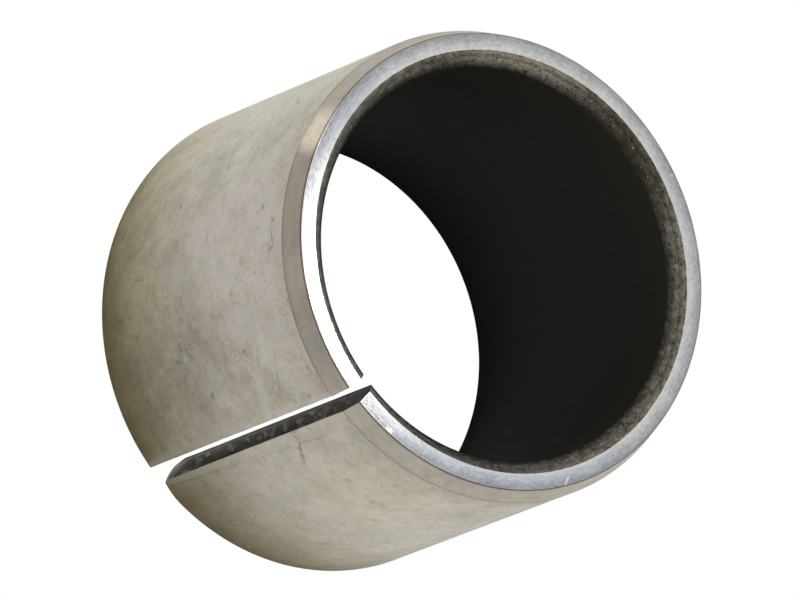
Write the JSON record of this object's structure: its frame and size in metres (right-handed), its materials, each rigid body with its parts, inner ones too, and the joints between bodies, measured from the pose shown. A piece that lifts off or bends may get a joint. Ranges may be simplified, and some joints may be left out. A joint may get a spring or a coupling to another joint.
{
  "type": "wrapped plain bushing",
  "caption": "Rolled steel-backed plain bushing with a black self-lubricating bore, chamfered ends and an open butt seam.",
  "frame": {"origin": "centre of the lower end face, on the axis of the bore", "axes": "+Z along the bore, up from the lower end face; the seam faces -Y"},
  "size_m": [0.012, 0.012, 0.0099],
  "materials": {
    "plated_steel": "satin tin plating on rolled steel, handled and lightly stained, end faces bright",
    "sliding_lining": "matte black film over sintered bronze, with the bare grains showing on the chamfers"
  },
  "bodies": {
    "root": {"steel_backing": "plated_steel", "sliding_layer": "sliding_lining"}
  },
  "joints": []
}
